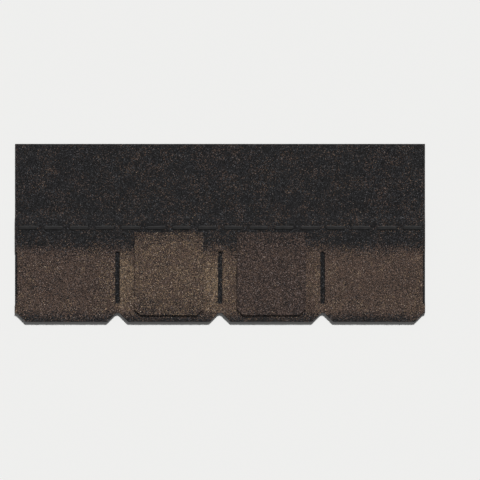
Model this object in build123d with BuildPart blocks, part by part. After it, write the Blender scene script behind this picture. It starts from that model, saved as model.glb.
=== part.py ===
from build123d import *
import os

# A laminated asphalt strip shingle, lying flat with its granules up.
# X runs along the course, Y up the roof from the butt edge, Z out of the roof.
# The origin is on the underside, at the middle of the shingle's outline.

# Tabs from left to right, with the name of the overlay on each, and their spacing
tabs = [None, "overlay_tab_left", "overlay_tab_right", None]
tab_pitch = 254.0
exposure = 203.2
headlap = 34.9

# Plies, each with its granules
backer_thickness = 3.0
face_thickness = 3.0
overlay_thickness = 3.0

# Slots between tabs, closed at both ends
slot_width = 10.5
slot_foot = 46.0
slot_drop = 28.6

# Notches in the butt edge
notch_width = 52.0
notch_height = 26.0
notch_root_radius = 9.0
tab_corner_radius = 6.0

# Overlay tabs
overlay_side_margin = 41.5
overlay_butt_setback = 16.5
overlay_lap = 19.0
overlay_corner_width = 15.5
overlay_corner_height = 14.5
overlay_corner_radius = 3.0

# Sealant beads
bead_length = 50.0
bead_spacing = 63.5
bead_width = 12.0
bead_height = 1.5
bead_bevel = 0.8
bead_clearance = 5.0

# Backer's reach past the beads, and the run in which the sheet comes down behind it
backer_margin = 6.0
drape_run = 26.0

# Worked out from the sizes above
length = len(tabs) * tab_pitch
height = 2 * exposure + headlap
butt_y = -height / 2
head_y = height / 2
exposure_y = butt_y + exposure
overlay_top_y = exposure_y + overlay_lap
bead_y = overlay_top_y + bead_clearance + bead_width / 2
backer_top_y = bead_y + bead_width / 2 + backer_margin
face_top_z = backer_thickness + face_thickness
slot_lines = [i * tab_pitch - length / 2 for i in range(len(tabs) + 1)]

os.makedirs("parts", exist_ok=True)


def notch():
    """An upside-down V with a rounded root, its mouth on the line y = 0."""
    with BuildSketch() as shape:
        with BuildLine():
            FilletPolyline(
                (-notch_width / 2, 0),
                (0, notch_height),
                (notch_width / 2, 0),
                radius=notch_root_radius,
            )
            Line((notch_width / 2, 0), (-notch_width / 2, 0))
        make_face()
    return shape.sketch


def slot():
    """A narrow slot, square at its foot and round at its top, its foot on the line y = 0."""
    straight = exposure - slot_foot - slot_drop - slot_width / 2
    with BuildSketch() as shape:
        Rectangle(slot_width, straight, align=(Align.CENTER, Align.MIN))
        with Locations((0, straight)):
            Circle(slot_width / 2)
    return shape.sketch


def overlay_outline():
    """A square tab with its lower corners cut off and eased, its butt edge on the line y = 0."""
    half = tab_pitch / 2 - overlay_side_margin
    top = exposure + overlay_lap - overlay_butt_setback
    with BuildSketch() as shape:
        with BuildLine():
            Polyline(
                (0, 0),
                (half - overlay_corner_width, 0),
                (half, overlay_corner_height),
                (half, top),
                (0, top),
            )
            mirror(about=Plane.YZ)
        make_face()
        lowest, above = vertices().group_by(Axis.Y)[:2]
        fillet(lowest + above, radius=overlay_corner_radius)
    return shape.sketch


def along_slot_lines(y):
    """The points at height y on every line between tabs, and on both ends of the shingle."""
    return [(x, y) for x in slot_lines]


# The backer closes the slots from below and shares the notches of the butt edge.
with BuildPart() as backer_sheet:
    with BuildSketch():
        with Locations((0, butt_y)):
            Rectangle(length, backer_top_y - butt_y, align=(Align.CENTER, Align.MIN))
        with Locations(*along_slot_lines(butt_y)):
            add(notch(), mode=Mode.SUBTRACT)
        fillet(vertices().group_by(Axis.Y)[0], radius=tab_corner_radius)
    extrude(amount=backer_thickness)
backer_sheet.part.label = "backer_sheet"
export_step(backer_sheet.part, "parts/backer_sheet.step")

# The face sheet lies flat on the backer, then comes down to the floor behind it in two arcs.
with BuildPart() as face_sheet:
    with BuildSketch(Plane.YZ):
        with BuildLine():
            flat = Line((butt_y, backer_thickness), (backer_top_y, backer_thickness))
            halfway = (backer_top_y + drape_run / 2, backer_thickness / 2)
            leaving = TangentArc(flat @ 1, halfway, tangent=flat % 1)
            landing = TangentArc(halfway, (backer_top_y + drape_run, 0), tangent=leaving % 1)
            Line(landing @ 1, (head_y, 0))
            offset(amount=face_thickness, side=Side.LEFT)
        make_face()
    extrude(amount=length / 2, both=True)
    with BuildSketch(Plane.XY):
        with Locations(*along_slot_lines(butt_y)):
            add(notch())
        with Locations(*along_slot_lines(butt_y + slot_foot)):
            add(slot())
    extrude(amount=face_top_z, mode=Mode.SUBTRACT)
    fillet(edges().filter_by(Axis.Z).group_by(Axis.Y)[0], radius=tab_corner_radius)
face_sheet.part.label = "face_sheet"
export_step(face_sheet.part, "parts/face_sheet.step")

# Overlay tabs are extra plies, centred on their tabs.
for left_line, name in zip(slot_lines, tabs):
    if name is None:
        continue
    with BuildPart() as overlay_tab:
        with BuildSketch(Plane.XY.offset(face_top_z)):
            with Locations((left_line + tab_pitch / 2, butt_y + overlay_butt_setback)):
                add(overlay_outline())
        extrude(amount=overlay_thickness)
    overlay_tab.part.label = name
    export_step(overlay_tab.part, f"parts/{name}.step")

# The sealant is a row of flat beads just above the overlay tabs.
with BuildPart() as sealant_strip:
    with BuildSketch(Plane.XY.offset(face_top_z)):
        with Locations((0, bead_y)):
            with GridLocations(bead_spacing, 0, int(length // bead_spacing), 1):
                SlotOverall(bead_length, bead_width)
    extrude(amount=bead_height)
    chamfer(edges().group_by(Axis.Z)[-1], length=bead_bevel)
sealant_strip.part.label = "sealant_strip"
export_step(sealant_strip.part, "parts/sealant_strip.step")
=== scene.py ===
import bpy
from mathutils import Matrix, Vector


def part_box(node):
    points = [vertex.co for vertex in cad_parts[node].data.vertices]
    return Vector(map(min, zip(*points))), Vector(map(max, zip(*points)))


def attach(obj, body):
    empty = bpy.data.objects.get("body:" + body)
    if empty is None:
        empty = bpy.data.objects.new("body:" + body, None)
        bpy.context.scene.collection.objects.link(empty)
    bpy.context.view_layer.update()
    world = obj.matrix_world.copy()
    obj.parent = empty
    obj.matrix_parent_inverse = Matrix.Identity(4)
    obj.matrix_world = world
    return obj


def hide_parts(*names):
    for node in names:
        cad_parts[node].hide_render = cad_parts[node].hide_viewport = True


bl_info = {
    "name": "Laminated Asphalt Shingle",
    "version": (1, 0, 0),
    "blender": (4, 5, 0),
    "location": "3D View > Sidebar > Shingle",
    "description": "Dresses a four-tab laminated shingle with granules, cut edges, sealant and a studio",
    "category": "Add Mesh",
}

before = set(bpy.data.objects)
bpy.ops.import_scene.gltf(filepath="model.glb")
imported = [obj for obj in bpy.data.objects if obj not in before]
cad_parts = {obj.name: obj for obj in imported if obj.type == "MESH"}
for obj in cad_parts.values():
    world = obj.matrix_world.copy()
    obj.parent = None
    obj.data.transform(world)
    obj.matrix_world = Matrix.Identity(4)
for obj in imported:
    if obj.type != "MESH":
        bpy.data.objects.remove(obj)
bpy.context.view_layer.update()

import math

import bmesh
import bpy
import numpy as np
from bpy.props import FloatProperty, FloatVectorProperty, IntProperty, PointerProperty
from mathutils import Vector, noise
from mathutils.geometry import delaunay_2d_cdt
from mathutils.kdtree import KDTree

SHEET_LOW, SHEET_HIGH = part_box("face_sheet")
TAB_COUNT = 4
TAB_PITCH = (SHEET_HIGH.x - SHEET_LOW.x) / TAB_COUNT

# A face looks up or down if the cosine of its slope is over this
FLAT_ENOUGH = 0.5
# Metres within which points of a CAD node are one, and within which points of a filling are
WELD, TOUCHING = 1e-6, 1e-9
# Blender's number for a filling that reaches to the hull of the points
FILLED_HULL = 0
# Decimals of a metre to which heights along the sheet are read
DECIMALS = 6
# A sliver of a tab or panel, so that none is lost or added when a count is rounded down
SLIVER = 1e-6

# Row spacing over column spacing in a staggered pattern, and how far a point in it may be shifted
STAGGER = math.sqrt(3) / 2
SHIFT = 0.28
# How far points keep from a rim, in steps of that rim, past the reach of its lean
RIM_CLEARANCE = 0.1

# Waves that turn a place into a random number, and the step aside to a second number there
GRAIN_WAVES = (12989.8, 78233.0)
GRAIN_SPREAD = 43758.5453
SECOND_GRAIN = 1.0

# Shares of a sealant bead's height: its foot at the side, its body and how far that swells
BEAD_FOOT, BEAD_BODY, BEAD_SWELL = 0.15, 0.65, 0.2
# Lumps in one wander of a bead's side, and how much coarser its underside is than its top
BEAD_WANDER_LUMPS = 2
BEAD_BACK_COARSER = 2

# Material slots of every ply
GRANULES, CUT_EDGE, SANDED_BACK = range(3)

# The map for baking, in metres of the ply: the gap between panels, the height and spacing of the
# strips that hold its cut edge, and the margin around it all as a share of the map
PANEL_GAP = 0.014
STRIP_HEIGHT, STRIP_PITCH = 0.003, 0.005
BAKE_MARGIN = 0.002
# Scales on that map of a side that shows, of one that shows in part and of one that is hidden
SHOWN, PARTLY_SHOWN, HIDDEN = 1.0, 0.5, 0.25

# The floor's reach from the middle, its drop below the shingle, and how far the camera sees
FLOOR_REACH = 60.0
FLOOR_DROP = 0.0003
CAMERA_REACH = 100.0


def seen_colour(red, green, blue):
    """The light that a shader works with for a colour on a screen, 0 to 255, by the sRGB curve."""
    parts = [value / 255 for value in (red, green, blue)]
    return tuple(p / 12.92 if p <= 0.04045 else ((p + 0.055) / 1.055) ** 2.4 for p in parts)


class ShinglePlies(bpy.types.PropertyGroup):
    """Sizes of the granule coat, the cut edges and the sealant."""

    exposure: FloatProperty(
        name="Exposure",
        description="Height of the part that the next course leaves open to the weather",
        default=0.2032, min=0.05, unit="LENGTH", precision=4,
    )
    exposed_spacing: FloatProperty(
        name="Relief on the tabs",
        description="Distance between the peaks and hollows of the granule coat on the tabs",
        default=0.00168, min=0.0015, unit="LENGTH", precision=5,
    )
    headlap_spacing: FloatProperty(
        name="Relief on the headlap",
        description="Distance between the peaks and hollows of the granule coat on the headlap",
        default=0.0020, min=0.0018, unit="LENGTH", precision=5,
    )
    back_spacing: FloatProperty(
        name="Back spacing",
        description="Distance between the points of the sanded back",
        default=0.008, min=0.002, unit="LENGTH", precision=4,
    )
    relief: FloatProperty(
        name="Granule relief",
        description="Depth of the hollows between granules",
        default=0.00065, min=0.0, max=0.0015, unit="LENGTH", precision=5,
    )
    edge_slant: FloatProperty(
        name="Edge slant",
        description="How far the top of a cut edge leans back from its foot",
        default=0.00015, min=0.0, max=0.002, unit="LENGTH", precision=5,
    )
    edge_roughness: FloatProperty(
        name="Edge roughness",
        description="How far a cut edge wanders from its line",
        default=0.0002, min=0.0, max=0.001, unit="LENGTH", precision=5,
    )
    # The bare margin is partly granules that the cut knocked off and partly painted shade that darkens
    # each cut edge
    bare_and_shaded_width: FloatProperty(
        name="Bare margin",
        description="Width along a cut edge where the cut has knocked granules off",
        default=0.0008, min=0.0001, unit="LENGTH", precision=5,
    )
    # This share is partly real wear and partly painted shade along the cut edge
    bare_and_shaded_share: FloatProperty(
        name="Bare share",
        description="Share of the granules that the cut has knocked off right at a cut edge",
        default=0.4, min=0.0, max=1.0, subtype="FACTOR",
    )
    bead_spacing: FloatProperty(
        name="Sealant relief",
        description="Distance between the points of a sealant bead",
        default=0.0012, min=0.0008, unit="LENGTH", precision=5,
    )
    bead_shoulder: FloatProperty(
        name="Sealant shoulder",
        description="Width over which a sealant bead rises from its side to its top",
        default=0.0024, min=0.0005, max=0.006, unit="LENGTH", precision=5,
    )
    bead_lump: FloatProperty(
        name="Sealant lumps",
        description="Distance from one lump of a sealant bead to the next",
        default=0.007, min=0.001, unit="LENGTH", precision=4,
    )
    bead_wander: FloatProperty(
        name="Sealant wander",
        description="How far a sealant bead's side draws in where less of it was laid",
        default=0.0020, min=0.0, max=0.003, unit="LENGTH", precision=5,
    )
    seed: IntProperty(
        name="Seed",
        description="Start of the random draws for the relief",
        default=26, min=0,
    )


class GranuleBlend(bpy.types.PropertyGroup):
    """Colours of the granule families and where along the plies each one is dropped."""

    size: FloatProperty(
        name="Granule size",
        description="Width of one granule",
        default=0.0015, min=0.0005, unit="LENGTH", precision=5,
    )
    brown: FloatVectorProperty(
        name="Brown",
        description="Mean colour of the brown granules that cover most of the tabs",
        default=seen_colour(98, 79, 68), min=0.0, max=1.0, subtype="COLOR",
    )
    golden: FloatVectorProperty(
        name="Golden",
        description="Mean colour of the golden granules",
        default=seen_colour(147, 124, 98), min=0.0, max=1.0, subtype="COLOR",
    )
    plum: FloatVectorProperty(
        name="Plum",
        description="Mean colour of the dark red granules",
        default=seen_colour(83, 68, 62), min=0.0, max=1.0, subtype="COLOR",
    )
    # Charcoal granules; the same colour also paints the next course's shadow under the exposure line
    charcoal: FloatVectorProperty(
        name="Charcoal",
        description="Mean colour of the near-black granules of the shadow bands",
        default=seen_colour(37, 37, 39), min=0.0, max=1.0, subtype="COLOR",
    )
    golden_at_tab_edges: FloatVectorProperty(
        name="Golden at tab edges",
        description="Share of golden granules at the left and right edge of each tab, from the left",
        default=(0.06, 0.38, 0.75, 0.8, 0.35, 0.22, 0.06, 0.12), min=0.0, max=1.0,
        size=TAB_COUNT * 2,
    )
    golden_fade: FloatProperty(
        name="Golden fade",
        description="Width over which the golden granules thin out from a tab's edge",
        default=0.085, min=0.001, unit="LENGTH",
    )
    golden_ends: FloatProperty(
        name="Golden ends",
        description="Height over which the golden granules thin out to the exposure line and the butt",
        default=0.088, min=0.001, unit="LENGTH",
    )
    golden_above_butt: FloatProperty(
        name="Golden above the butt",
        description="Share of golden granules in a strip just above the charcoal of the butt",
        default=0.12, min=0.0, max=1.0, subtype="FACTOR",
    )
    plum_on_tabs: FloatVectorProperty(
        name="Plum on tabs",
        description="Share of dark red granules on each tab, from the left",
        default=(0.42, 0.0, 0.1, 0.1), min=0.0, max=1.0, size=TAB_COUNT,
    )
    # Charcoal on the headlap and at the exposure line: the granules' own dark band, made darker still as
    # painted shadow of the next course up
    headlap_charcoal_and_painted_shadow: FloatProperty(
        name="Charcoal on the headlap",
        description="Share of charcoal granules on the headlap",
        default=0.91, min=0.0, max=1.0, subtype="FACTOR",
    )
    # The band's height takes in that painted shadow as well as the charcoal granules
    shadow_band: FloatProperty(
        name="Shadow band",
        description="Height of the charcoal band under the exposure line",
        default=0.048, min=0.001, unit="LENGTH",
    )
    butt_charcoal: FloatProperty(
        name="Charcoal at the butt",
        description="Share of charcoal granules along the butt edge",
        default=0.81, min=0.0, max=1.0, subtype="FACTOR",
    )
    butt_band: FloatProperty(
        name="Butt band",
        description="Height of the charcoal band along the butt edge",
        default=0.036, min=0.001, unit="LENGTH",
    )
    golden_on_overlays: FloatVectorProperty(
        name="Golden on overlays",
        description="Share of golden granules on the left and right overlay tab",
        default=(0.27, 0.0), min=0.0, max=1.0, size=2,
    )
    plum_on_overlays: FloatVectorProperty(
        name="Plum on overlays",
        description="Share of dark red granules on the left and right overlay tab",
        default=(0.1, 0.85), min=0.0, max=1.0, size=2,
    )
    overlay_top_charcoal: FloatProperty(
        name="Charcoal at overlay tops",
        description="Share of charcoal granules along the top of both overlay tabs",
        default=0.45, min=0.0, max=1.0, subtype="FACTOR",
    )
    overlay_top: FloatProperty(
        name="Overlay top",
        description="Height over which the charcoal at an overlay's top thins out",
        default=0.06, min=0.001, unit="LENGTH",
    )
    overlay_foot_charcoal: FloatVectorProperty(
        name="Charcoal at overlay feet",
        description="Share of charcoal granules along the foot of the left and right overlay tab",
        default=(0.36, 0.12), min=0.0, max=1.0, size=2,
    )
    overlay_foot: FloatProperty(
        name="Overlay foot",
        description="Height over which the charcoal at an overlay's foot thins out",
        default=0.062, min=0.001, unit="LENGTH",
    )
    stray_share: FloatProperty(
        name="Strays in the slots",
        description="Share of golden and of dark red granules among the charcoal of the backer",
        default=0.15, min=0.0, max=1.0, subtype="FACTOR",
    )
    patchiness: FloatProperty(
        name="Patchiness",
        description="How far the shares of the families wander from place to place",
        default=0.35, min=0.0, max=1.0, subtype="FACTOR",
    )


class ShingleStudio(bpy.types.PropertyGroup):
    """The camera over the shingle, and the light at a level that renders colours as written."""

    camera_place: FloatVectorProperty(
        name="Camera",
        description="Where the camera stands, looking straight down at the shingle",
        default=(0.0493, -0.0177, 4.463), unit="LENGTH", subtype="TRANSLATION",
    )
    lens: FloatProperty(
        name="Lens",
        description="Focal length of the camera, in millimetres",
        default=135.0, min=10.0,
    )
    key_direction: FloatVectorProperty(
        name="Key light",
        description="Direction from the shingle to the key light",
        default=(0.25, 1.0, 0.75), subtype="XYZ",
    )
    key_share: FloatProperty(
        name="Key share",
        description="Share of the light on a level surface that comes from the key light",
        default=0.86, min=0.0, max=1.0, subtype="FACTOR",
    )
    key_softness: FloatProperty(
        name="Key softness",
        description="Angle that the key light fills in the sky",
        default=math.radians(7), min=0.0, subtype="ANGLE",
    )
    floor_colour: FloatVectorProperty(
        name="Floor",
        description="Colour of the floor and of the background beyond it",
        default=(0.86, 0.86, 0.85), min=0.0, max=1.0, subtype="COLOR",
    )


# Outlines and points

def upward_loops(node):
    """Outlines of the upward faces of a CAD node, widest first, with the material on their left."""
    solid = bmesh.new()
    solid.from_mesh(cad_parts[node].data)
    bmesh.ops.remove_doubles(solid, verts=solid.verts, dist=WELD)
    # A dictionary keeps the mesh's order, which a set doesn't, so that every run makes the same loops
    upward = dict.fromkeys(face for face in solid.faces if face.normal.z > FLAT_ENOUGH)
    following = {}
    for face in upward:
        for corner in face.loops:
            if not any(other in upward for other in corner.edge.link_faces if other is not face):
                following[corner.vert] = corner.link_loop_next.vert
    loops = []
    while following:
        vertex = next(iter(following))
        points = []
        while vertex in following:
            points.append(tuple(vertex.co.xy))
            vertex = following.pop(vertex)
        loops.append(np.array(points))
    solid.free()
    return sorted(loops, key=lambda loop: np.ptp(loop[:, 0]), reverse=True)


def height_along(node, way):
    """A function of points: the height there of a CAD node's faces that look up (1) or down (-1)."""
    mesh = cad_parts[node].data
    flat = [face for face in mesh.polygons if face.normal.z * way > FLAT_ENOUGH]
    corners = (mesh.vertices[i].co for face in flat for i in face.vertices)
    profile = sorted({(round(c.y, DECIMALS), round(c.z, DECIMALS)) for c in corners})
    places, heights = np.array(profile).T
    return lambda points: np.interp(points[:, 1], places, heights)


def cut_along(loop, y, side):
    """The part of a loop above (side 1) or below (side -1) a line across the sheet."""
    kept = []
    for here, after in zip(loop, np.roll(loop, -1, axis=0)):
        start, end = side * (here[1] - y), side * (after[1] - y)
        if start >= 0:
            kept.append(here)
        if start * end < 0:
            kept.append(here + (after - here) * start / (start - end))
    return np.array(kept)


def spaced(loop, step):
    """The loop with points added, so that none is more than a step from the next."""
    points = []
    for here, after in zip(loop, np.roll(loop, -1, axis=0)):
        count = max(1, math.ceil(np.hypot(*(after - here)) / step))
        points += [here + (after - here) * i / count for i in range(count)]
    return np.array(points)


def inward(loop):
    """For each point of a loop, the unit vector into the material on its left."""
    run = np.roll(loop, -1, axis=0) - np.roll(loop, 1, axis=0)
    across = np.stack([-run[:, 1], run[:, 0]], axis=1)
    return across / np.linalg.norm(across, axis=1, keepdims=True)


def inside(points, loops):
    """Which points lie inside the loops, by the edges that lie beyond each along x."""
    within = np.zeros(len(points), bool)
    for loop in loops:
        for (x0, y0), (x1, y1) in zip(loop, np.roll(loop, -1, axis=0)):
            if y0 != y1:
                level = (y0 > points[:, 1]) != (y1 > points[:, 1])
                within ^= level & (points[:, 0] < x0 + (points[:, 1] - y0) * (x1 - x0) / (y1 - y0))
    return within


def scattered(loop, spacing, draws):
    """Points in staggered rows that fill the box around a loop, each shifted a little."""
    low, high = loop.min(axis=0), loop.max(axis=0)
    x, y = np.meshgrid(
        np.arange(low[0], high[0] + spacing, spacing),
        np.arange(low[1], high[1] + spacing, spacing * STAGGER),
    )
    x[1::2] += spacing / 2
    points = np.stack([x.ravel(), y.ravel()], axis=1)
    return points + draws.uniform(-SHIFT, SHIFT, points.shape) * spacing


def distance_to(targets, points):
    """The distance from each point to the nearest of the targets."""
    tree = KDTree(len(targets))
    for i, (x, y) in enumerate(targets.tolist()):
        tree.insert((x, y, 0), i)
    tree.balance()
    return np.array([tree.find((x, y, 0))[2] for x, y in points.tolist()])


def clear_of(rims, points, loops, clearance):
    """The points that lie inside the loops and further than a clearance from the rims."""
    points = points[inside(points, loops)]
    return points[distance_to(np.vstack(rims), points) > clearance]


def grain(points):
    """A random number from 0 to 1 for each point, the same wherever that point turns up again."""
    wave = np.sin(points[:, 0] * GRAIN_WAVES[0] + points[:, 1] * GRAIN_WAVES[1]) * GRAIN_SPREAD
    return wave - np.floor(wave)


def swell(points, size):
    """A smooth random number for each point, within -1 to 1, that swings over about a size."""
    return np.array([noise.noise(Vector((x, y, 0)) / size) for x, y in points.tolist()])


def eased(value):
    """0 below 0, 1 above 1 and a smooth step between them."""
    t = np.clip(value, 0, 1)
    return t * t * (3 - 2 * t)


# Meshes

def leaning_rims(loops, wall, seam):
    """Each loop's ragged foot, the top that leans back from it, and which points a cut has made."""
    feet, tops, cut = [], [], []
    for loop in loops:
        foot = spaced(loop, wall["step"])
        is_cut = np.ones(len(foot), bool) if seam is None else ~np.isclose(foot[:, 1], seam)
        lean = inward(foot) * is_cut[:, None]
        feet.append(foot + lean * (wall["rag"] * grain(foot + SECOND_GRAIN))[:, None])
        tops.append(foot + lean * (wall["slant"] + wall["rag"] * grain(foot))[:, None])
        cut.append(is_cut)
    return feet, tops, np.concatenate(cut)


def triangulated(rims, inner):
    """Triangles over the rims' points and the inner points, none of them outside the rims."""
    points = np.vstack([*rims, inner])
    following = np.full(len(points), -1)
    total = 0
    for rim in rims:
        on_rim = total + np.arange(len(rim))
        following[on_rim] = np.roll(on_rim, -1)
        total += len(rim)
    edges = list(enumerate(following[:total].tolist()))
    made, _, faces, *_ = delaunay_2d_cdt(
        [Vector(point) for point in points.tolist()], edges, [], FILLED_HULL, TOUCHING, False
    )
    if len(made) != len(points):
        raise RuntimeError("The outline crosses itself, so the ply can't be filled")
    faces = np.array(faces)
    turned = np.roll(faces, -1, axis=1)
    # A triangle that runs a rim backwards lies outside it, and one that runs it forwards lies inside
    with_rim = (following[faces] == turned).any(axis=1)
    keep = ~(following[turned] == faces).any(axis=1)
    between_rims = keep & ~with_rim & (faces < total).all(axis=1)
    keep[between_rims] = inside(points[faces[between_rims]].mean(axis=1), rims)
    return faces[keep]


def walls_down(rims, under):
    """Quads from each rim's points down to those of its foot, which come `under` places later."""
    walls = []
    first = 0
    for rim in rims:
        here = first + np.arange(len(rim))
        after = np.roll(here, -1)
        walls.append(np.stack([here, here + under, after + under, after], axis=1))
        first += len(rim)
    return np.vstack(walls)


def closed_solid(loops, top_points, back_points, coat, underside, wall, seam=None):
    """A closed solid between a relief above and a plain back, with leaning, ragged walls.

    The coat is a function of points and of their distance from a cut edge, the underside of points
    alone. The wall's step, rag and slant are in metres. Points on the seam keep their place."""
    feet, tops, cut = leaning_rims(loops, wall, seam)
    reach = math.hypot(wall["step"] / 2, wall["slant"] + wall["rag"])
    clearance = reach + wall["step"] * RIM_CLEARANCE
    top_points = clear_of(tops, top_points, loops, clearance)
    back_points = clear_of(feet, back_points, loops, clearance)

    upper = np.vstack([*tops, top_points])
    lower = np.vstack([*feet, back_points])
    depth = distance_to(np.vstack(tops)[cut], upper)
    top_faces = triangulated(tops, top_points)
    walls = walls_down(feet, len(upper))
    back_faces = triangulated(feet, back_points)[:, ::-1] + len(upper)
    vertices = np.vstack([
        np.column_stack([upper, coat(upper, depth)]),
        np.column_stack([lower, underside(lower)]),
    ])
    faces = top_faces.tolist() + walls.tolist() + back_faces.tolist()
    counts = [len(top_faces), len(walls), len(back_faces)]
    slots = np.repeat([GRANULES, CUT_EDGE, SANDED_BACK], counts)
    return vertices, faces, slots, upper, depth


def ply_solid(node, loops, top_points, back_points, plies, seam=None):
    """The closed solid of a ply, from granules that peak on its CAD node's top to that node's back."""
    top, underside = height_along(node, 1), height_along(node, -1)
    wall = {"step": plies.exposed_spacing, "rag": plies.edge_roughness, "slant": plies.edge_slant}

    def coat(points, depth):
        return top(points) - plies.relief * grain(points)

    return closed_solid(loops, top_points, back_points, coat, underside, wall, seam)


def sharpen_rims(mesh):
    """Marks the edges between two materials as sharp, so that a cut edge isn't shaded round."""
    solid = bmesh.new()
    solid.from_mesh(mesh)
    for edge in solid.edges:
        edge.smooth = len({face.material_index for face in edge.link_faces}) == 1
    solid.to_mesh(mesh)
    solid.free()


def corners_in_plan(mesh):
    """The x and y of each face corner, the number of corners of each face, and its material."""
    places = np.empty(len(mesh.vertices) * 3)
    mesh.vertices.foreach_get("co", places)
    counts, slots = np.empty((2, len(mesh.polygons)), "int32")
    mesh.polygons.foreach_get("loop_total", counts)
    mesh.polygons.foreach_get("material_index", slots)
    corner = np.empty(len(mesh.loops), "int32")
    mesh.loops.foreach_get("vertex_index", corner)
    return places.reshape(-1, 3)[corner, :2], counts, slots


def add_bake_map(mesh, panels, shown_scale, hidden_scale):
    """A UV map for baking: each side of a ply in panels, set in rows, and its cut edge in strips."""
    points, counts, slots = corners_in_plan(mesh)
    low, reach = points.min(axis=0), np.ptp(points, axis=0)
    width = reach[0] / panels
    middles = np.add.reduceat(points[:, 0], np.cumsum(counts) - counts) / counts
    panel = np.clip((middles - low[0]) // width, 0, panels - 1)
    row_length = math.ceil(math.sqrt(panels)) * (width + PANEL_GAP)

    face = np.repeat(np.arange(len(counts)), counts)
    laid = np.zeros((len(points), 2))
    base = 0.0
    for side, scale in ((GRANULES, shown_scale), (SANDED_BACK, hidden_scale)):
        on_side = slots[face] == side
        which = panel[face[on_side]]
        cell = (np.array([width, reach[1]]) + PANEL_GAP) * scale
        in_row = math.floor(row_length / cell[0] + SLIVER)
        within = points[on_side] - low + PANEL_GAP / 2
        within[:, 0] -= which * width
        steps = np.column_stack([which % in_row, which // in_row])
        laid[on_side] = within * scale + steps * cell + (0, base)
        base += math.ceil(panels / in_row) * cell[1]

    on_edge = slots[face] == CUT_EDGE
    quads = points[on_edge].reshape(-1, 4, 2)
    run = np.hypot(*(quads[:, 3] - quads[:, 0]).T)
    row, left = np.divmod(np.cumsum(run) - run, row_length)
    foot = base + row * STRIP_PITCH
    right, top = left + run, foot + STRIP_HEIGHT
    strips = np.stack([left, top, left, foot, right, foot, right, top], axis=1)
    laid[on_edge] = strips.reshape(-1, 2)
    laid = BAKE_MARGIN + (1 - 2 * BAKE_MARGIN) * laid / laid.max(axis=0)
    mesh.uv_layers.new(name="OFBake").data.foreach_set("uv", laid.astype("float32").ravel())


def add_piece(name, solids, materials, node, bake=None):
    """One object of some closed solids, standing for a CAD node and riding on its body.

    Each solid is its vertices, faces, material slots and granule shares. The shares are those of its
    first vertices, which are the ones on top."""
    vertices, faces, slots, shares = [], [], [], []
    total = 0
    for points, solid_faces, solid_slots, solid_shares in solids:
        vertices.append(points)
        faces += [[i + total for i in face] for face in solid_faces]
        slots.append(solid_slots)
        below = np.zeros((len(points) - len(solid_shares), 4))
        shares.append(np.vstack([solid_shares, below]))
        total += len(points)
    mesh = bpy.data.meshes.new(name)
    mesh.from_pydata(np.vstack(vertices).tolist(), [], faces)
    for material in materials:
        mesh.materials.append(material)
    slots = np.concatenate(slots)
    mesh.polygons.foreach_set("material_index", slots.astype("int32"))
    mesh.polygons.foreach_set("use_smooth", slots == GRANULES)
    blend = mesh.attributes.new("blend", "FLOAT_COLOR", "POINT")
    blend.data.foreach_set("color", np.vstack(shares).astype("float32").ravel())
    sharpen_rims(mesh)
    if bake:
        add_bake_map(mesh, *bake)
    piece = bpy.data.objects.new(name, mesh)
    bpy.context.collection.objects.link(piece)
    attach(piece, "root")
    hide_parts(node)


# Where each family of granules lies

def bare_margin_and_edge_shade(depth, plies):
    """Share of granules that are missing, against the distance from the cut edge: partly granules that
    the cut knocked off and partly painted shade along the edge.
    """
    return plies.bare_and_shaded_share * (1 - eased(depth / plies.bare_and_shaded_width))


def face_shares(points, depth, plies, blend):
    """Golden, plum, charcoal and missing shares at points of the face sheet; the charcoal under the
    exposure line also paints the next course's shadow, and the missing share also paints shade along cut
    edges.
    """
    along = np.clip((points[:, 0] - SHEET_LOW.x) / TAB_PITCH, 0, TAB_COUNT - SLIVER)
    tab = along.astype(int)
    from_left = (along - tab) * TAB_PITCH
    from_right = TAB_PITCH - from_left
    at_edges = np.array(blend.golden_at_tab_edges).reshape(TAB_COUNT, 2)
    golden = at_edges[tab, 0] * (1 - eased(from_left / blend.golden_fade))
    golden += at_edges[tab, 1] * (1 - eased(from_right / blend.golden_fade))
    plum = np.array(blend.plum_on_tabs)[tab]
    from_butt = points[:, 1] - SHEET_LOW.y
    exposed = plies.exposure - from_butt
    golden *= eased(exposed / blend.golden_ends) * eased(from_butt / blend.golden_ends)
    bands_up = from_butt / blend.butt_band
    golden += blend.golden_above_butt * eased(bands_up) * (1 - eased(bands_up - 1))
    # Under the exposure line the charcoal is partly the granules' own band and partly painted shadow of
    # the next course; along the butt it is the granules alone
    charcoal = blend.headlap_charcoal_and_painted_shadow * (1 - eased(exposed / blend.shadow_band))
    charcoal += blend.butt_charcoal * (1 - eased(bands_up))
    return np.column_stack([golden, plum, charcoal, bare_margin_and_edge_shade(depth, plies)])


def overlay_shares(points, depth, plies, blend, which):
    """Golden, plum, charcoal and missing shares at points of an overlay tab, left (0) or right (1); the
    missing share is partly painted shade along the cut edges.
    """
    heights = points[:, 1]
    at_top = 1 - eased((heights.max() - heights) / blend.overlay_top)
    at_foot = 1 - eased((heights - heights.min()) / blend.overlay_foot)
    return np.column_stack([
        np.full(len(points), blend.golden_on_overlays[which]),
        np.full(len(points), blend.plum_on_overlays[which]),
        blend.overlay_top_charcoal * at_top + blend.overlay_foot_charcoal[which] * at_foot,
        bare_margin_and_edge_shade(depth, plies),
    ])


def backer_shares(depth, plies, blend):
    """Golden, plum, charcoal and missing shares of the backer, which is charcoal with some strays; the
    missing share is partly painted shade along the cut edges.
    """
    strays = np.full((len(depth), 2), blend.stray_share)
    return np.column_stack([strays, np.ones(len(depth)), bare_margin_and_edge_shade(depth, plies)])


# Materials

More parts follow.
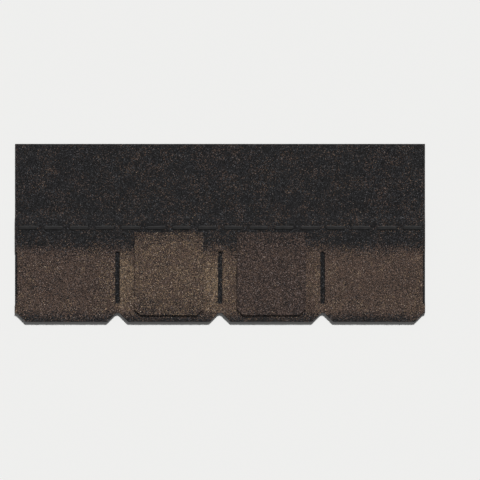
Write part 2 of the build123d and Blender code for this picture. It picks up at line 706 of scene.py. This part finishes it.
SHADES = (
    # share of the granules, lightness against the family's mean, and how grey
    (0.24, 0.28, 0.3),
    (0.24, 0.60, 0.1),
    (0.21, 0.95, 0.0),
    (0.16, 1.45, 0.0),
    (0.10, 2.20, 0.15),
    (0.05, 3.60, 0.45),
)
# How strongly each family's shades differ, as a power of their lightness
BROWN_CONTRAST, GOLDEN_CONTRAST, PLUM_CONTRAST, CHARCOAL_CONTRAST = 0.72, 0.58, 1.15, 1.6
LUMINANCE = (0.2126, 0.7152, 0.0722)

# Granules against their own size: how far and how often their sides bend, how far one reaches where
# three meet, half the joint between two, the width and height of a rounded rim, and the tilt
BEND, BENDS_A_GRANULE = 0.5, 1.3
CORNER_REACH, HALF_JOINT = 0.66, 0.045
RIM_WIDTH, RIM_HEIGHT = 0.2, 0.3
TILT = 1.2
# Roughness of the smoothest and the roughest granule, and of bare asphalt
SMOOTH_GRANULE, ROUGH_GRANULE, ROUGH_ASPHALT = 0.62, 0.95, 0.55
# What noise and random colours are on average
MIDDLE = 0.5

# Counts a metre: patches of a granule family, specks in the cut edge and fibres along and across
# it, sand grains on the back and patches where they are thin, and clouds of dust on the sealant
FAMILY_PATCHES = 28.0
EDGE_SPECKS = 1100.0
EDGE_FIBRES = (120.0, 120.0, 2600.0)
SAND_GRAINS = 1800.0
SAND_PATCHES = 35.0
DUST_CLOUDS = 220.0

# The reach of a speck, and the levels of noise that make a fibre and that leave the sand thin
SPECK_REACH = 0.22
FIBRE_LEVEL = 0.62
THIN_SAND_LEVEL = 0.36
# Stones that show through the sealant in the width of one granule
STONES_UNDER_SEALANT = 0.7


def opaque(red, green, blue):
    """A seen colour with its alpha, for a shader's socket."""
    return (*seen_colour(red, green, blue), 1)


# Asphalt that shows between granules and where they are missing (along cut edges partly as painted
# shade), and the cut edge with its fibres and specks
BARE_ASPHALT = opaque(20, 18, 18)
CUT_ASPHALT, CUT_FIBRE, CUT_SPECK = opaque(22, 20, 19), opaque(52, 48, 44), opaque(78, 72, 66)
# The back's darkest and lightest sand, and its asphalt where the sand is thin
DARK_SAND, LIGHT_SAND, THIN_SAND = opaque(58, 56, 54), opaque(128, 125, 120), opaque(44, 42, 41)
CLEAN_SEALANT, DUSTY_SEALANT = opaque(12, 12, 13), opaque(38, 36, 35)


def add_node(tree, kind, inputs=None, **settings):
    """A shader node with its settings, and a value or a link in each input that is given."""
    node = tree.nodes.new(kind)
    for name, value in settings.items():
        setattr(node, name, value)
    for name, value in (inputs or {}).items():
        if isinstance(value, bpy.types.NodeSocket):
            tree.links.new(value, node.inputs[name])
        else:
            node.inputs[name].default_value = value
    return node


def maths(tree, operation, *values):
    """The result of a math node."""
    return add_node(tree, "ShaderNodeMath", dict(enumerate(values)), operation=operation).outputs[0]


def vector_maths(tree, operation, *values):
    """The result of a vector math node, which is a number for a dot product."""
    node = add_node(tree, "ShaderNodeVectorMath", dict(enumerate(values)), operation=operation)
    return node.outputs["Value" if operation == "DOT_PRODUCT" else "Vector"]


def mixed(tree, factor, under, over):
    """One colour laid over another by a factor."""
    inputs = {0: factor, 6: under, 7: over}
    return add_node(tree, "ShaderNodeMix", inputs, data_type="RGBA").outputs[2]


def parts_of(tree, colour):
    """The red, green and blue of a colour, which serve as three numbers."""
    return add_node(tree, "ShaderNodeSeparateColor", {"Color": colour}).outputs


def bumped(tree, shader, height, strength, distance, **settings):
    """Gives a shader a bump of a height."""
    inputs = {"Strength": strength, "Distance": distance, "Height": height}
    bump = add_node(tree, "ShaderNodeBump", inputs, **settings)
    tree.links.new(bump.outputs["Normal"], shader.inputs["Normal"])


def family_ramp(tree, pick, colour, contrast):
    """The colour of each granule of a family, from a random number that picks its shade."""
    node = add_node(tree, "ShaderNodeValToRGB", {"Fac": pick})
    ramp = node.color_ramp
    ramp.interpolation = "CONSTANT"
    mean = sum(share * lightness ** contrast for share, lightness, _ in SHADES)
    luminance = sum(part * weight for part, weight in zip(colour, LUMINANCE))
    start = 0.0
    for i, (share, lightness, greyness) in enumerate(SHADES):
        stop = ramp.elements[0] if i == 0 else ramp.elements.new(start)
        parts = [part + (luminance - part) * greyness for part in colour]
        stop.color = (*[part * lightness ** contrast / mean for part in parts], 1)
        start += share
    ramp.elements.remove(ramp.elements[-1])
    return node.outputs["Color"]


def new_material(name):
    """A material, its tree and its shader."""
    material = bpy.data.materials.new(name)
    material.use_nodes = True
    return material, material.node_tree, material.node_tree.nodes["Principled BSDF"]


def granule_material(name, blend):
    """Crushed stone granules of four families, with black asphalt showing between them."""
    material, tree, shader = new_material(name)
    place = add_node(tree, "ShaderNodeTexCoord").outputs["Object"]
    bends = add_node(
        tree, "ShaderNodeTexNoise",
        {"Vector": place, "Scale": BENDS_A_GRANULE / blend.size, "Detail": 2.0},
    )
    bend = vector_maths(tree, "SUBTRACT", bends.outputs["Color"], (MIDDLE,) * 3)
    bend = vector_maths(tree, "MULTIPLY", bend, (blend.size * BEND,) * 3)
    broken = vector_maths(tree, "ADD", place, bend)
    grid = {"Vector": broken, "Scale": 1 / blend.size}
    cells = add_node(tree, "ShaderNodeTexVoronoi", grid)
    sides = add_node(tree, "ShaderNodeTexVoronoi", grid, feature="DISTANCE_TO_EDGE")
    picks = parts_of(tree, cells.outputs["Color"])
    more = add_node(tree, "ShaderNodeTexWhiteNoise", {"Vector": cells.outputs["Position"]})
    more_picks = parts_of(tree, more.outputs["Color"])

    drops = add_node(tree, "ShaderNodeAttribute", attribute_name="blend")
    shares = parts_of(tree, drops.outputs["Color"])
    patches = add_node(
        tree, "ShaderNodeTexNoise", {"Vector": place, "Scale": FAMILY_PATCHES, "Detail": 4.0}
    )
    drifts = parts_of(tree, patches.outputs["Color"])

    colour = family_ramp(tree, picks[0], blend.brown, BROWN_CONTRAST)
    families = (
        (picks[1], shares[0], drifts[0], blend.golden, GOLDEN_CONTRAST),
        (picks[2], shares[1], drifts[1], blend.plum, PLUM_CONTRAST),
        # The charcoal share carries the painted shadow under the exposure line as well as the granules
        (more_picks[0], shares[2], drifts[2], blend.charcoal, CHARCOAL_CONTRAST),
    )
    for pick, share, drift, family, contrast in families:
        # Noise strays up to a half from its middle, which makes a share stray up to the patchiness
        off_middle = maths(tree, "SUBTRACT", drift, MIDDLE)
        wander = maths(tree, "MULTIPLY", off_middle, blend.patchiness * 2)
        chosen = maths(tree, "LESS_THAN", pick, maths(tree, "ADD", share, wander))
        colour = mixed(tree, chosen, colour, family_ramp(tree, picks[0], family, contrast))

    # Granules missing near cut edges show bare asphalt: partly wear, partly painted shade along the edge
    missing = maths(tree, "LESS_THAN", more_picks[1], drops.outputs["Alpha"])
    corner = maths(tree, "GREATER_THAN", cells.outputs["Distance"], CORNER_REACH)
    joint = maths(tree, "LESS_THAN", sides.outputs["Distance"], HALF_JOINT)
    bare = maths(tree, "MAXIMUM", missing, maths(tree, "MAXIMUM", corner, joint))
    colour = mixed(tree, bare, colour, BARE_ASPHALT)
    tree.links.new(colour, shader.inputs["Base Color"])

    stone = add_node(
        tree, "ShaderNodeMapRange",
        {"Value": more_picks[2], "To Min": SMOOTH_GRANULE, "To Max": ROUGH_GRANULE},
    )
    rough = add_node(
        tree, "ShaderNodeMix", {0: bare, 2: stone.outputs["Result"], 3: ROUGH_ASPHALT},
        data_type="FLOAT",
    )
    tree.links.new(rough.outputs[0], shader.inputs["Roughness"])
    shader.inputs["Specular IOR Level"].default_value = 0.15

    rim = add_node(
        tree, "ShaderNodeMapRange",
        {"Value": sides.outputs["Distance"], "From Max": RIM_WIDTH, "To Max": RIM_HEIGHT},
        interpolation_type="SMOOTHSTEP",
    )
    across = vector_maths(tree, "SUBTRACT", broken, cells.outputs["Position"])
    lean = vector_maths(tree, "SUBTRACT", more.outputs["Color"], (MIDDLE,) * 3)
    slope = vector_maths(tree, "DOT_PRODUCT", across, lean)
    tilt = maths(tree, "MULTIPLY", slope, TILT / blend.size)
    standing = maths(tree, "ADD", rim.outputs["Result"], tilt)
    standing = maths(tree, "MULTIPLY", standing, maths(tree, "SUBTRACT", 1.0, missing))
    bumped(tree, shader, standing, strength=0.8, distance=blend.size)
    return material


def asphalt_edge_material():
    """The cut through felt and asphalt: matt black with mineral specks and a glass mat's fibres."""
    material, tree, shader = new_material("cut asphalt edge")
    place = add_node(tree, "ShaderNodeTexCoord").outputs["Object"]
    specks = add_node(tree, "ShaderNodeTexVoronoi", {"Vector": place, "Scale": EDGE_SPECKS})
    speck = maths(tree, "LESS_THAN", specks.outputs["Distance"], SPECK_REACH)
    flat = add_node(tree, "ShaderNodeMapping", {"Vector": place, "Scale": EDGE_FIBRES})
    fibres = add_node(
        tree, "ShaderNodeTexNoise", {"Vector": flat.outputs["Vector"], "Scale": 1.0, "Detail": 3.0}
    )
    fibre = maths(tree, "GREATER_THAN", fibres.outputs["Fac"], FIBRE_LEVEL)
    colour = mixed(tree, speck, mixed(tree, fibre, CUT_ASPHALT, CUT_FIBRE), CUT_SPECK)
    tree.links.new(colour, shader.inputs["Base Color"])
    shader.inputs["Roughness"].default_value = 0.75
    shader.inputs["Specular IOR Level"].default_value = 0.3
    bumped(tree, shader, fibres.outputs["Fac"], strength=0.5, distance=0.0003)
    return material


def sanded_back_material():
    """The back: asphalt dusted with fine grey sand, so that shingles don't stick in the pack."""
    material, tree, shader = new_material("sanded back")
    place = add_node(tree, "ShaderNodeTexCoord").outputs["Object"]
    sand = add_node(tree, "ShaderNodeTexVoronoi", {"Vector": place, "Scale": SAND_GRAINS})
    ramp = add_node(tree, "ShaderNodeValToRGB", {"Fac": parts_of(tree, sand.outputs["Color"])[0]})
    dark, light = ramp.color_ramp.elements
    dark.color, light.color = DARK_SAND, LIGHT_SAND
    patches = add_node(
        tree, "ShaderNodeTexNoise", {"Vector": place, "Scale": SAND_PATCHES, "Detail": 5.0}
    )
    thin = maths(tree, "LESS_THAN", patches.outputs["Fac"], THIN_SAND_LEVEL)
    colour = mixed(tree, thin, ramp.outputs["Color"], THIN_SAND)
    tree.links.new(colour, shader.inputs["Base Color"])
    shader.inputs["Roughness"].default_value = 0.9
    bumped(tree, shader, sand.outputs["Distance"], strength=0.4, distance=0.0002)
    return material


def sealant_material(blend):
    """Soft black asphalt adhesive, poured over the granules and dulled by dust."""
    material, tree, shader = new_material("asphalt sealant")
    place = add_node(tree, "ShaderNodeTexCoord").outputs["Object"]
    dust = add_node(
        tree, "ShaderNodeTexNoise", {"Vector": place, "Scale": DUST_CLOUDS, "Detail": 6.0}
    )
    ramp = add_node(tree, "ShaderNodeValToRGB", {"Fac": dust.outputs["Fac"]})
    clean, dusty = ramp.color_ramp.elements
    clean.position, dusty.position = 0.45, 0.8
    clean.color, dusty.color = CLEAN_SEALANT, DUSTY_SEALANT
    tree.links.new(ramp.outputs["Color"], shader.inputs["Base Color"])
    rough = add_node(
        tree, "ShaderNodeMapRange",
        {"Value": dust.outputs["Fac"], "From Min": 0.3, "From Max": 0.7, "To Min": 0.5, "To Max": 0.75},
    )
    tree.links.new(rough.outputs["Result"], shader.inputs["Roughness"])
    shader.inputs["Specular IOR Level"].default_value = 0.22
    stones = add_node(
        tree, "ShaderNodeTexVoronoi",
        {"Vector": place, "Scale": STONES_UNDER_SEALANT / blend.size}, feature="SMOOTH_F1",
    )
    bumped(
        tree, shader, stones.outputs["Distance"], strength=0.35, distance=blend.size / 2, invert=True
    )
    return material


def ply_materials(granules, blend):
    """The three materials of a ply, of which the granules are its own."""
    edge = bpy.data.materials.get("cut asphalt edge") or asphalt_edge_material()
    back = bpy.data.materials.get("sanded back") or sanded_back_material()
    return [granule_material(granules, blend), edge, back]


# Operators

class SHINGLE_OT_backer_sheet(bpy.types.Operator):
    """Make the backer sheet, whose granules show in the slots"""

    bl_idname = "shingle.backer_sheet"
    bl_label = "Backer Sheet"

    def execute(self, context):
        plies, blend = context.scene.shingle_plies, context.scene.granule_blend
        draws = np.random.default_rng(plies.seed)
        loops = upward_loops("backer_sheet")
        coarse = scattered(loops[0], plies.back_spacing, draws)
        *solid, _, depth = ply_solid("backer_sheet", loops, coarse, coarse, plies)
        add_piece(
            "backer_ply", [(*solid, backer_shares(depth, plies, blend))],
            ply_materials("backer granules", blend), "backer_sheet",
            (TAB_COUNT, PARTLY_SHOWN, SHOWN),
        )
        return {"FINISHED"}


class SHINGLE_OT_face_sheet(bpy.types.Operator):
    """Make the face sheet's exposed tabs and its headlap, which drapes behind the backer"""

    bl_idname = "shingle.face_sheet"
    bl_label = "Face Sheet"

    def execute(self, context):
        plies, blend = context.scene.shingle_plies, context.scene.granule_blend
        draws = np.random.default_rng(plies.seed + 1)
        outer, *slots = upward_loops("face_sheet")
        seam = SHEET_LOW.y + plies.exposure
        materials = ply_materials("face granules", blend)
        for name, side, spacing, back_scale in (
            ("exposed_tabs", -1, plies.exposed_spacing, HIDDEN),
            ("headlap", 1, plies.headlap_spacing, PARTLY_SHOWN),
        ):
            outline = cut_along(outer, seam, side)
            slots_in_it = [loop for loop in slots if side * (loop[:, 1].mean() - seam) > 0]
            *solid, upper, depth = ply_solid(
                "face_sheet", [outline, *slots_in_it],
                scattered(outline, spacing, draws),
                scattered(outline, plies.back_spacing, draws),
                plies, seam,
            )
            add_piece(
                name, [(*solid, face_shares(upper, depth, plies, blend))],
                materials, "face_sheet",
                (TAB_COUNT, SHOWN, back_scale),
            )
        return {"FINISHED"}


class SHINGLE_OT_overlay_tabs(bpy.types.Operator):
    """Make the two raised overlay tabs"""

    bl_idname = "shingle.overlay_tabs"
    bl_label = "Overlay Tabs"

    def execute(self, context):
        plies, blend = context.scene.shingle_plies, context.scene.granule_blend
        draws = np.random.default_rng(plies.seed + 2)
        materials = ply_materials("overlay granules", blend)
        for which, (name, node) in enumerate((
            ("overlay_ply_left", "overlay_tab_left"),
            ("overlay_ply_right", "overlay_tab_right"),
        )):
            loops = upward_loops(node)
            *solid, upper, depth = ply_solid(
                node, loops,
                scattered(loops[0], plies.exposed_spacing, draws),
                scattered(loops[0], plies.back_spacing, draws),
                plies,
            )
            add_piece(
                name, [(*solid, overlay_shares(upper, depth, plies, blend, which))],
                materials, node,
                (1, SHOWN, HIDDEN),
            )
        return {"FINISHED"}


class SHINGLE_OT_sealant_beads(bpy.types.Operator):
    """Make the row of sealant beads above the overlay tabs"""

    bl_idname = "shingle.sealant_beads"
    bl_label = "Sealant Beads"

    def execute(self, context):
        plies = context.scene.shingle_plies
        draws = np.random.default_rng(plies.seed + 3)
        low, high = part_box("sealant_strip")
        wall = {"step": plies.bead_spacing, "rag": plies.edge_roughness, "slant": 0.0}

        def poured(points, depth):
            shoulder = np.sqrt(1 - (1 - np.clip(depth / plies.bead_shoulder, 0, 1)) ** 2)
            share = BEAD_FOOT + shoulder * (BEAD_BODY + BEAD_SWELL * swell(points, plies.bead_lump))
            return low.z + (high.z - low.z) * share

        def foot(points):
            return np.full(len(points), low.z)

        solids = []
        for loop in upward_loops("sealant_strip"):
            outline = spaced(loop, plies.bead_spacing)
            drawn_in = (1 + swell(outline, plies.bead_lump * BEAD_WANDER_LUMPS)) / 2
            outline += inward(outline) * (plies.bead_wander * drawn_in)[:, None]
            vertices, faces, slots, upper, _ = closed_solid(
                [outline],
                scattered(loop, plies.bead_spacing, draws),
                scattered(loop, plies.bead_spacing * BEAD_BACK_COARSER, draws),
                poured, foot, wall,
            )
            solids.append((vertices, faces, np.zeros_like(slots), np.zeros((len(upper), 4))))
        material = sealant_material(context.scene.granule_blend)
        add_piece("sealant_beads", solids, [material], "sealant_strip")
        return {"FINISHED"}


class SHINGLE_OT_studio(bpy.types.Operator):
    """Make the floor, the light and the camera that looks straight down"""

    bl_idname = "shingle.studio"
    bl_label = "Studio"

    def execute(self, context):
        studio = context.scene.shingle_studio
        self.add_floor(context, studio)
        self.add_light(context, studio)
        self.add_room(context, studio)
        self.add_camera(context, studio)
        context.scene.view_settings.view_transform = "Standard"
        return {"FINISHED"}

    def add_floor(self, context, studio):
        """A pale, matt floor just below the shingle."""
        corners = [
            (x * FLOOR_REACH, y * FLOOR_REACH, -FLOOR_DROP)
            for x, y in ((-1, -1), (1, -1), (1, 1), (-1, 1))
        ]
        mesh = bpy.data.meshes.new("floor")
        mesh.from_pydata(corners, [], [(0, 1, 2, 3)])
        material, _, shader = new_material("pale floor")
        shader.inputs["Base Color"].default_value = (*studio.floor_colour, 1)
        shader.inputs["Roughness"].default_value = 1.0
        shader.inputs["Specular IOR Level"].default_value = 0.0
        mesh.materials.append(material)
        floor = bpy.data.objects.new("floor", mesh)
        context.collection.objects.link(floor)

    def add_light(self, context, studio):
        """The key light, at the strength that gives a level surface its share."""
        direction = Vector(studio.key_direction).normalized()
        lamp = bpy.data.lights.new("key light", "SUN")
        lamp.energy = math.pi * studio.key_share / direction.z
        lamp.angle = studio.key_softness
        key = bpy.data.objects.new("key light", lamp)
        key.rotation_euler = direction.to_track_quat("Z", "Y").to_euler()
        context.collection.objects.link(key)

    def add_room(self, context, studio):
        """Even light from all round, and a backdrop of the floor's colour to look at."""
        world = bpy.data.worlds.new("soft room")
        world.use_nodes = True
        tree = world.node_tree
        tree.nodes.clear()
        rays = add_node(tree, "ShaderNodeLightPath").outputs
        shown = maths(tree, "MAXIMUM", rays["Is Camera Ray"], rays["Is Glossy Ray"])
        shown = maths(tree, "MAXIMUM", shown, rays["Is Transmission Ray"])
        fill = add_node(
            tree, "ShaderNodeBackground", {"Color": (1, 1, 1, 1), "Strength": 1 - studio.key_share}
        )
        backdrop = add_node(
            tree, "ShaderNodeBackground", {"Color": (*studio.floor_colour, 1), "Strength": 1.0}
        )
        sky = add_node(
            tree, "ShaderNodeMixShader", {0: shown, 1: fill.outputs[0], 2: backdrop.outputs[0]}
        )
        add_node(tree, "ShaderNodeOutputWorld", {"Surface": sky.outputs[0]})
        context.scene.world = world

    def add_camera(self, context, studio):
        """The camera, which looks straight down unless it is turned."""
        data = bpy.data.cameras.new("camera")
        data.lens = studio.lens
        data.clip_end = CAMERA_REACH
        camera = bpy.data.objects.new("camera", data)
        camera.location = studio.camera_place
        context.collection.objects.link(camera)
        context.scene.camera = camera


class SHINGLE_PT_sidebar(bpy.types.Panel):
    """Sidebar panel with the shingle's settings and the operators that build it"""

    bl_idname = "SHINGLE_PT_sidebar"
    bl_label = "Laminated Shingle"
    bl_space_type = "VIEW_3D"
    bl_region_type = "UI"
    bl_category = "Shingle"

    def draw(self, context):
        for name in SETTINGS:
            settings = getattr(context.scene, name)
            box = self.layout.box()
            for setting in settings.__annotations__:
                box.prop(settings, setting)
        for operator in OPERATORS:
            self.layout.operator(operator.bl_idname)


SETTINGS = {
    "shingle_plies": ShinglePlies,
    "granule_blend": GranuleBlend,
    "shingle_studio": ShingleStudio,
}
OPERATORS = (
    SHINGLE_OT_backer_sheet,
    SHINGLE_OT_face_sheet,
    SHINGLE_OT_overlay_tabs,
    SHINGLE_OT_sealant_beads,
    SHINGLE_OT_studio,
)
CLASSES = (*SETTINGS.values(), *OPERATORS, SHINGLE_PT_sidebar)


def register():
    """Adds the settings, operators and panel to Blender."""
    for cls in CLASSES:
        bpy.utils.register_class(cls)
    for name, group in SETTINGS.items():
        setattr(bpy.types.Scene, name, PointerProperty(type=group))


def unregister():
    """Takes them out again."""
    for name in SETTINGS:
        delattr(bpy.types.Scene, name)
    for cls in reversed(CLASSES):
        bpy.utils.unregister_class(cls)


def main():
    """Builds the shingle and its studio."""
    register()
    bpy.ops.shingle.backer_sheet()
    bpy.ops.shingle.face_sheet()
    bpy.ops.shingle.overlay_tabs()
    bpy.ops.shingle.sealant_beads()
    bpy.ops.shingle.studio()


if __name__ == "__main__":
    main()
